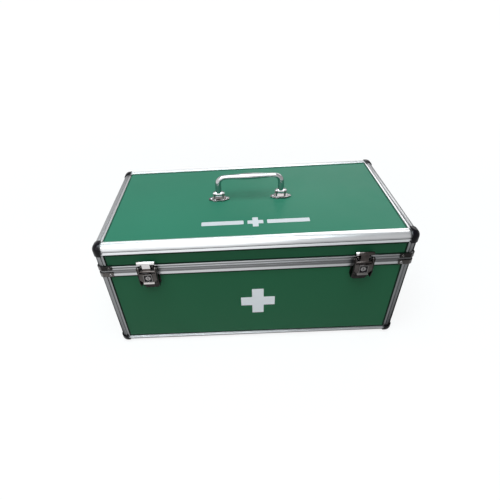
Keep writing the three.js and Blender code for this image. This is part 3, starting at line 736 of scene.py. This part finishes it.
STRIP = strip_tree()
for body, (height, tall, plating) in CLAMPS.items():
    points, edges = clamp_path(height)
    values = {"Thickness": CLAMP_THICKNESS * MM, "Height": tall * MM, "Fillet": CLAMP_FILLET * MM}
    mesh = grow(STRIP, points, edges, values | {"Finish": plating})
    clamps = place_piece(f"{body}_corner_clamps", mesh, plating, body)
    mark_faces(clamps, "painted_highlight", on_bend)
    round_edges(clamps, 0.2)
    print(clamps.name, [round(v / MM, 2) for v in clamps.dimensions])

# %% [markdown]
# ### Handle
#
# The handle is a steel bar that swells towards its middle, so that it fills the hand, and bends down
# into two legs. That is a rule along a path: the tree works out the radius from the distance to the
# middle of the bar and scales a circle by it while sweeping.

# %% Handle bar
LEG_X = 47.0
PIVOT_Z = 204.3
BAR_RISE = 27.5
LEG_START = 3.0  # the leg starts inside its eye
BEND = 13.0
BEND_RUN = 1.62 * BEND  # along the middle of the bend
RADII = {"Middle": 4.59, "Ends": 3.2, "Leg": 4.5}
LEG_STEPS, BEND_STEPS, BAR_STEPS, AROUND = 8, 10, 24, 28


def bar_path():
    """Centre line of the bar, from the left leg to the right one."""
    corner = Vector((-LEG_X, MIDDLE_Y, PIVOT_Z + BAR_RISE))
    leg_top = corner - Vector((0, 0, BEND))
    bar_end = corner + Vector((BEND, 0, 0))
    straight = BAR_RISE - BEND - LEG_START
    rises = [PIVOT_Z + LEG_START + straight * i / LEG_STEPS for i in range(LEG_STEPS)]
    left = [Vector((-LEG_X, MIDDLE_Y, z)) for z in rises]
    for i in range(BEND_STEPS + 1):
        t = i / BEND_STEPS
        left.append(leg_top * (1 - t) ** 2 + corner * 2 * t * (1 - t) + bar_end * t**2)
    places = [bar_end.x * (1 - 2 * i / BAR_STEPS) for i in range(1, BAR_STEPS)]
    bar = [Vector((x, MIDDLE_Y, corner.z)) for x in places]
    right = [Vector((-p.x, p.y, p.z)) for p in reversed(left)]
    return left + bar + right


def bar_tree():
    inputs = {key: "Float" for key in (*RADII, "Bar half", "Bend")}
    tree, graph, given = open_tree("swelling_bar", inputs | {"Finish": "Material"})
    path = graph.node("GeometryNodeMeshToCurve", None, {"Mesh": given["Geometry"]})["Curve"]
    along = graph.node("GeometryNodeSplineParameter")["Length"]
    whole = graph.node("GeometryNodeSplineLength")["Length"]
    run = graph.math("ABSOLUTE", along - whole * 0.5)
    share = graph.node("ShaderNodeMapRange", None, {"Value": run, "From Max": given["Bar half"]})["Result"]
    swell = graph.math("COSINE", share * (math.pi / 2))
    leg = graph.ease(run, given["Bar half"], given["Bar half"] + given["Bend"])
    radius = given["Ends"] + (given["Middle"] - given["Ends"]) * swell**2
    radius = radius + (given["Leg"] - given["Ends"]) * leg
    sockets = {"Resolution": AROUND, "Radius": 1.0}
    ring = graph.node("GeometryNodeCurvePrimitiveCircle", None, sockets)["Curve"]
    sockets = {"Curve": path, "Profile Curve": ring, "Scale": radius, "Fill Caps": True}
    swept = graph.node("GeometryNodeCurveToMesh", None, sockets)["Mesh"]
    smooth = graph.node("GeometryNodeSetShadeSmooth", None, {"Geometry": swept})["Geometry"]
    close_tree(graph, smooth, given["Finish"])
    return tree


path = bar_path()
values = {key: radius * MM for key, radius in RADII.items()}
values |= {"Bar half": (LEG_X - BEND) * MM, "Bend": BEND_RUN * MM, "Finish": CHROME}
bar_mesh = grow(bar_tree(), path, [(i, i + 1) for i in range(len(path) - 1)], values)
print("bar", len(bar_mesh.polygons), "faces")

# %% [markdown]
# Each leg ends in an eye that turns on a cross pin. An eye is a ring, so it is a closed outline spun
# round the pin's axis, and it joins the bar in one mesh.

# %% Handle eyes
def spin_round(work, profile, centre, axis, steps=32):
    """Faces of a (radius, along) profile spun round an axis, closed where it comes back to its start."""
    axis = Vector(axis)
    across = axis.orthogonal().normalized()
    start = [work.verts.new((Vector(centre) + across * r + axis * a) * MM) for r, a in profile]
    rim = [work.edges.new((start[i], start[(i + 1) % len(start)])) for i in range(len(start))]
    turn = {"cent": Vector(centre) * MM, "axis": axis, "angle": 2 * math.pi, "steps": steps}
    bmesh.ops.spin(work, geom=start + rim, use_merge=True, **turn)


EYE = [(2.0, -4.9), (2.3, -5.2), (4.1, -5.2), (4.6, -4.7), (4.6, 4.7), (4.1, 5.2), (2.3, 5.2), (2.0, 4.9)]
work = bmesh.new()
work.from_mesh(bar_mesh)
for x in (-LEG_X, LEG_X):
    spin_round(work, EYE, (x, MIDDLE_Y, PIVOT_Z), (1, 0, 0))
bail = closed_mesh("handle_bail", work)
handle = place_piece("handle_bail", bail, CHROME, "handle", ["handle"])
handle.data.shade_smooth()
handle.data.set_sharp_from_angle(angle=math.radians(35))
for side in SIDES:
    dress(f"{side}_handle_bracket", SATIN, "lid", 0.3, 3)
    dress(f"{side}_handle_pin", SATIN, "lid", 0.3, 3)
print(handle.name, [round(v / MM, 1) for v in handle.dimensions])

# %% [markdown]
# ## Latches and hinges
#
# A draw latch has five pieces: the plate on the base, the lever that turns on it, the hook in the
# lever, the keeper on the lid and the key plug in the lever. They are pressings with soft edges. The
# hinges are rolled from the same sheet.

# %% Latches and hinges
LATCH_X, LEVER_FACE, BOSS_HALF = 146.5, -116.1, 7.0


def on_boss(spot, normal):
    """A painted highlight: strong on what faces up near the key plug, and weak on the frame round it."""
    if abs(abs(spot.x) - LATCH_X) > BOSS_HALF:
        return 0
    return max(0.75 * (normal.z > 0.2), 0.3 * (-normal.y > UPWARD and spot.y < LEVER_FACE - SKIN))


for side in SIDES:
    dress(f"{side}_latch_plate", NICKEL, "base", 0.45, 3)
    dress(f"{side}_latch_keeper", NICKEL, "lid", 0.3, 3)
    lever = dress(f"{side}_latch_lever", LEVER, f"{side}_lever", 0.5, 3)
    mark_faces(lever, "painted_highlight", on_boss)
    dress(f"{side}_latch_hook", HOOK[side], f"{side}_hook", 0.4, 3)
    dress(f"{side}_key_plug", SATIN, f"{side}_plug", 0.25)
    dress(f"{side}_hinge_base_leaf", CHROME, "base", 0.2)
    dress(f"{side}_hinge_pin", CHROME, "base", 0.2)
    dress(f"{side}_hinge_lid_leaf", CHROME, "lid", 0.2)
print(len(ROUNDED), "rounded copies by now")

# %% [markdown]
# ## Sheets with an outline
#
# The cross, the mark on the lid and the black plate round each key plug are cut from sheet. Their
# outline is filled, raised by the sheet's thickness and laid on the face that carries it.

# %% Cut sheets
def sheet_mesh(name, outlines, thickness, lay):
    """A closed sheet: the area between the outlines, raised, with its points placed by lay(a, b, up)."""
    work = bmesh.new()
    for outline in outlines:
        ring = [work.verts.new((a, b, 0)) for a, b in outline]
        for i in range(len(ring)):
            work.edges.new((ring[i], ring[(i + 1) % len(ring)]))
    bmesh.ops.triangle_fill(work, use_beauty=True, use_dissolve=False, edges=work.edges)
    raised = bmesh.ops.extrude_face_region(work, geom=work.faces[:])
    for item in raised["geom"]:
        if isinstance(item, bmesh.types.BMVert):
            item.co.z = thickness
    for vert in work.verts:
        vert.co = Vector(lay(*vert.co)) * MM
    return closed_mesh(name, work)


ARC_STEPS = 4


def rounded_corners(corners, radius):
    """An outline whose corners are replaced by arcs, inner corners too."""
    points = []
    for i, corner in enumerate(corners):
        here = Vector(corner)
        before = (Vector(corners[i - 1]) - here).normalized() * radius
        after = (Vector(corners[(i + 1) % len(corners)]) - here).normalized() * radius
        for j in range(ARC_STEPS + 1):
            angle = math.pi / 2 * j / ARC_STEPS
            points.append(tuple(here + before * (1 - math.sin(angle)) + after * (1 - math.cos(angle))))
    return points


def cross_outline(x, y, size, arm, radius):
    """A cross round (x, y): its size, the width of its arms and the radius of its corners."""
    far, near = size / 2, arm / 2
    quarter = [(far, near), (near, near), (near, far)]
    corners = []
    for turn in range(4):
        for a, b in quarter:
            for _ in range(turn):
                a, b = -b, a
            corners.append((x + a, y + b))
    return rounded_corners(corners, radius)


def bar_outline(x0, x1, y, tall, radius):
    """A bar from x0 to x1, with its middle line at y."""
    low, high = y - tall / 2, y + tall / 2
    return rounded_corners([(x1, low), (x1, high), (x0, high), (x0, low)], radius)


print("sheet helpers ready")

# %% [markdown]
# ### White cross and lid mark
#
# A white cross on green is the common sign for first aid. It is cut from film 0.15 mm thick and stuck
# on the front board. A plain mark of two bars and a small cross lies on the lid in front of the handle.

# %% Film
FRONT_FACE, LID_FACE, FILM = -105.8, 194.5, 0.15
CROSS_X, CROSS_Z, MARK_Y = 4.5, 81, -62.8


def on_front(a, b, up):
    return (a, FRONT_FACE - up, b)


def on_lid(a, b, up):
    return (a, b, LID_FACE + up)


cross = cross_outline(CROSS_X, CROSS_Z, size=50, arm=17, radius=0.6)
marks = [
    bar_outline(-71, -12, MARK_Y, tall=9, radius=1),
    cross_outline(CROSS_X, MARK_Y, size=22, arm=8, radius=0.5),
    bar_outline(21, 80, MARK_Y, tall=9, radius=1),
]
front_film = sheet_mesh("front_cross", [cross], FILM, on_front)
place_piece("front_cross", front_film, WHITE, "base")
lid_film = sheet_mesh("lid_mark", marks, FILM, on_lid)
place_piece("lid_mark", lid_film, LID_WHITE, "lid")
print("film:", len(front_film.polygons) + len(lid_film.polygons), "faces")

# %% [markdown]
# ### Plug surrounds
#
# Inside the square boss of each lever lies a black plate with a round hole for the key plug.

# %% Plug surrounds
PLUG_Z, PLUG_HOLE, PLATE_HALF, PLATE_TALL, PLATE = 145.9, 3.85, 4.9, 11.2, 0.35
PLATE_SUNK, HOLE_POINTS = 0.05, 32


def on_lever(a, b, up):
    return (a, LEVER_FACE - PLATE_SUNK - up, b)


for side, sx in zip(SIDES, (-1, 1)):
    middle = sx * LATCH_X
    outline = bar_outline(middle - PLATE_HALF, middle + PLATE_HALF, PLUG_Z, PLATE_TALL, radius=0.6)
    turns = [math.tau * i / HOLE_POINTS for i in range(HOLE_POINTS)]
    hole = [(middle + PLUG_HOLE * math.cos(turn), PLUG_Z + PLUG_HOLE * math.sin(turn)) for turn in turns]
    plate = sheet_mesh(f"{side}_plug_surround", [outline, hole], PLATE, on_lever)
    surround = place_piece(f"{side}_plug_surround", plate, BLACK, f"{side}_lever")
    print(surround.name, len(plate.polygons), "faces")

# %% [markdown]
# ## Rivets and screws
#
# Latches, hinges and clamps are held by tubular rivets, whose rolled end shows as a bright ring, and
# the handle's feet by pan-head screws. One head of each kind is enough: the tree puts a copy on each
# point, turns it to face the point's direction and gives it a random turn, which the recesses show.

# %% Heads
RIVET = [
    (0, -0.3), (1, -0.3), (1, 0.25), (0.9, 0.7), (0.72, 1), (0.55, 0.9), (0.45, 0.5), (0.42, -0.1),
    (0, -0.1),
]
PAN = [(0, -0.3), (1, -0.3), (1, 0.3), (0.93, 0.6), (0.75, 0.85), (0.45, 0.98), (0, 1)]
RECESS_FLOOR, HEAD_STEPS = 0.45, 20


def head_object(name, profile):
    """A hidden head, one unit in radius and in height, that trees copy."""
    work = bmesh.new()
    spin_round(work, [(r / MM, z / MM) for r, z in profile], (0, 0, 0), (0, 0, 1), HEAD_STEPS)
    head = bpy.data.objects.new(name, closed_mesh(name, work))
    head.data.shade_smooth()
    head.data.set_sharp_from_angle(angle=math.radians(40))
    return head


def above_recess(a, b, up):
    return (a, b, RECESS_FLOOR / MM + up)


def cross_recess(head):
    """Cuts a cross recess into a head."""
    points = [tuple(c / MM for c in p) for p in cross_outline(0, 0, size=1.1, arm=0.3, radius=0.05)]
    cutter = bpy.data.objects.new("cutter", sheet_mesh("cutter", [points], 1 / MM, above_recess))
    for item in (head, cutter):
        bpy.context.collection.objects.link(item)
    cut = head.modifiers.new("recess", "BOOLEAN")
    cut.object = cutter
    cut.solver = "EXACT"
    mesh = bpy.data.meshes.new_from_object(head.evaluated_get(bpy.context.evaluated_depsgraph_get()))
    head.modifiers.remove(cut)
    head.data = mesh
    for item in (head, cutter):
        bpy.context.collection.objects.unlink(item)
    bpy.data.objects.remove(cutter)


rivet_head = head_object("rivet_head", RIVET)
screw_head = head_object("screw_head", PAN)
cross_recess(screw_head)
print("heads:", len(rivet_head.data.polygons), "and", len(screw_head.data.polygons), "faces")

# %% [markdown]
# The tree reads the direction from an attribute on the points, so rivets on the front, the sides and
# the rear can be made together.

# %% Fastener tree
def fastener_tree():
    inputs = {"Head": "Object", "Radius": "Float", "Height": "Float", "Seed": "Int", "Finish": "Material"}
    tree, graph, given = open_tree("fasteners", inputs)
    facing = graph.node("GeometryNodeInputNamedAttribute", {"data_type": "FLOAT_VECTOR"}, {"Name": "facing"})
    turn = graph.node("FunctionNodeRandomValue", None, {"Max": math.tau, "Seed": given["Seed"]})["Value"]
    spun = graph.node("FunctionNodeAxisAngleToRotation", None, {"Axis": (0, 0, 1), "Angle": turn})["Rotation"]
    sockets = {"Rotation": spun, "Vector": facing["Attribute"]}
    aimed = graph.node("FunctionNodeAlignRotationToVector", {"axis": "Z"}, sockets)["Rotation"]
    sockets = {"X": given["Radius"], "Y": given["Radius"], "Z": given["Height"]}
    size = graph.node("ShaderNodeCombineXYZ", None, sockets)["Vector"]
    head = graph.node("GeometryNodeObjectInfo", None, {"Object": given["Head"]})["Geometry"]
    sockets = {"Points": given["Geometry"], "Instance": head, "Rotation": aimed, "Scale": size}
    copies = graph.node("GeometryNodeInstanceOnPoints", None, sockets)["Instances"]
    close_tree(graph, copies, given["Finish"])
    return tree


FASTENERS = fastener_tree()
SEED = 7


def fasten(name, head, spots, size, body, material):
    """Heads of one (radius, height) on spots of (x, y, z, facing), as one piece that rides on a body."""
    radius, height = size
    values = {"Head": head, "Radius": radius * MM, "Height": height * MM, "Seed": SEED, "Finish": material}
    mesh = grow(FASTENERS, [s[:3] for s in spots], [], values, [s[3] for s in spots])
    print(name, len(spots), "heads,", len(mesh.polygons), "faces")
    return place_piece(name, mesh, material, body)


print(FASTENERS.name, "tree of", len(FASTENERS.nodes), "nodes")

# %% [markdown]
# Last come the places: one rivet on each leg of a clamp, two on each latch plate and keeper, three on
# each hinge leaf, and a screw at both ends of each foot.

# %% Fasteners
FRONT, REAR, UP = (0, -1, 0), (0, 1, 0), (0, 0, 1)
FRONT_PLANE, REAR_PLANE = MIDDLE_Y - HALF_DEPTH, MIDDLE_Y + HALF_DEPTH
CLAMP_RIVET, LEAF_RIVET, KEEPER_RIVET, FOOT_SCREW = (2.1, 0.75), (1.9, 0.7), (1.5, 0.7), (2.2, 1.1)
CLAMP_INWARD = 15.5  # from the case's end to the rivet
LATCHES, HINGES = (-LATCH_X, LATCH_X), (-125, 125)
PLATE_FACE, KEEPER_FACE, LEAF_FACE, FOOT_FACE = -107.3, -109.3, 113.7, 196.6


def clamp_spots(z):
    spots = []
    for sx in (-1, 1):
        x, x_face = sx * (HALF_WIDTH - CLAMP_INWARD), sx * (HALF_WIDTH + CLAMP_THICKNESS)
        spots += [
            (x, FRONT_PLANE - CLAMP_THICKNESS, z, FRONT),
            (x, REAR_PLANE + CLAMP_THICKNESS, z, REAR),
            (x_face, FRONT_PLANE + CLAMP_INWARD, z, (sx, 0, 0)),
            (x_face, REAR_PLANE - CLAMP_INWARD, z, (sx, 0, 0)),
        ]
    return spots


def row(middles, steps, y, z, facing):
    """A row of spots: every middle with every step beside it."""
    return [(middle + step, y, z, facing) for middle in middles for step in steps]


fasten("base_clamp_rivets", rivet_head, clamp_spots(147.9), CLAMP_RIVET, "base", SATIN)
fasten("lid_clamp_rivets", rivet_head, clamp_spots(159.4), CLAMP_RIVET, "lid", LEVER)
plate_spots = row(LATCHES, (-8, 8), PLATE_FACE, 129.5, FRONT)
fasten("latch_plate_rivets", rivet_head, plate_spots, LEAF_RIVET, "base", LEVER)
keeper_spots = row(LATCHES, (-7.5, 7.5), KEEPER_FACE, 161, FRONT)
fasten("keeper_rivets", rivet_head, keeper_spots, KEEPER_RIVET, "lid", SATIN)
for name, body, z in (("hinge_base_rivets", "base", 148.3), ("hinge_lid_rivets", "lid", 161)):
    fasten(name, rivet_head, row(HINGES, (-15, 0, 15), LEAF_FACE, z, REAR), LEAF_RIVET, body, CHROME)
foot_spots = row((-LEG_X, LEG_X), (-11.6, 11.6), MIDDLE_Y, FOOT_FACE, UP)
fasten("foot_screws", screw_head, foot_spots, FOOT_SCREW, "lid", CHROME)
for head in (rivet_head, screw_head):
    bpy.data.objects.remove(head)

# %% [markdown]
# ## Lining
#
# Base and lid are lined with felt over thin board, folded up at the walls, so its inner corners are
# soft. A wider rounding of a copy shows that.

# %% Lining
for body in PARTS:
    dress(f"{body}_lining", FELT, body, 1.1, 4)
print("two linings")

# %% [markdown]
# ## Floor and light
#
# The box stands on a pale floor that runs to the horizon. The floor looks white to the camera and in
# reflections, but it is plain pale paint for the light that it gives back, and it keeps its shadow.
# Reflections of floor and room sink to a half towards the right, as in a room with one bright side.

# %% Floor
FLOOR_REACH = 30
FLOOR_PAINT = (0.14, 0.14, 0.14, 1)
REFLECTED = 0.5  # what is left of reflections on the dark side


def seen_by(graph, sideways, low, high):
    """1 for the camera. For reflections it sinks while sideways goes from low to high."""
    rays = graph.node("ShaderNodeLightPath")
    dimmed = graph.ease(sideways, low, high, 1.0, REFLECTED)
    return rays["Is Camera Ray"] + dimmed * (rays["Is Glossy Ray"] + rays["Is Transmission Ray"])


def pale_floor():
    material = bpy.data.materials.new("pale_floor")
    material.use_nodes = True
    graph = Graph(material.node_tree)
    material.node_tree.nodes.remove(material.node_tree.nodes["Principled BSDF"])
    place = graph.node("ShaderNodeTexCoord")["Object"]
    seen = seen_by(graph, graph.split(place)["X"], -0.08, 0.32)
    away = graph.node("ShaderNodeVectorMath", {"operation": "LENGTH"}, {0: place})["Value"]
    lift = graph.ease(away, 0.2, 2.2, 0.82, 1.0)
    paint = graph.node("ShaderNodeBsdfDiffuse", None, {"Color": FLOOR_PAINT})["BSDF"]
    sockets = {"Color": (1, 1, 1, 1), "Strength": lift * seen}
    glow = graph.node("ShaderNodeEmission", None, sockets)["Emission"]
    both = graph.node("ShaderNodeAddShader", None, {0: paint, 1: glow})["Shader"]
    graph.feed(material.node_tree.nodes["Material Output"].inputs["Surface"], both)
    return material


floor_mesh = bpy.data.meshes.new("floor")
floor_corners = [(sx * FLOOR_REACH, sy * FLOOR_REACH, 0) for sx, sy in ((-1, -1), (1, -1), (1, 1), (-1, 1))]
floor_mesh.from_pydata(floor_corners, [], [(0, 1, 2, 3)])
floor = new_object("floor", floor_mesh)
floor_mesh.materials.append(pale_floor())
print("floor", 2 * FLOOR_REACH, "m wide")

# %% [markdown]
# Soft light comes from large lamps. One wide panel above the box whitens the rounded top edges and
# leaves the front in shade. A weaker one in front on the left lifts the front, and one behind on the
# right gives the lid its sheen there.

# %% Lamps and world
def panel(name, place, target, size, power, tint=(1, 1, 1)):
    """A lamp panel at a place, turned to shine on a target."""
    light = bpy.data.lights.new(name, "AREA")
    light.color = tint
    light.shape = "RECTANGLE"
    light.size, light.size_y = size
    light.energy = power
    lamp = new_object(name, light)
    aim = Vector(target) - Vector(place)
    lamp.matrix_world = Matrix.Translation(place) @ aim.to_track_quat("-Z", "Y").to_matrix().to_4x4()


def studio_world():
    """A dim room whose backdrop is white up to some height, for the camera and in reflections."""
    world = bpy.data.worlds.new("world")
    world.use_nodes = True
    graph = Graph(world.node_tree)
    axes = graph.split(graph.node("ShaderNodeTexCoord")["Object"])
    seen = seen_by(graph, axes["X"], 0.0, 0.45)
    backdrop = graph.ease(axes["Z"], 0.3, 0.7, 0.9, 0.55)
    background = world.node_tree.nodes["Background"].inputs
    background["Color"].default_value = (1, 1, 1, 1)
    graph.feed(background["Strength"], 0.1 + backdrop * seen)
    return world


panel("top_panel", (-0.15, -0.4, 1.7), (0, 0, 0.15), (1.5, 1.1), 41, (0.84, 0.96, 1))
panel("front_panel", (-0.7, -1.5, 1.4), (-0.1, -0.1, 0.19), (2.4, 1.5), 16)
panel("rear_panel", (1.1, 1.6, 1.25), (0.1, 0, 0.15), (2.2, 0.9), 13)
bpy.context.scene.world = studio_world()
print("3 lamp panels and a dim world with a white backdrop")
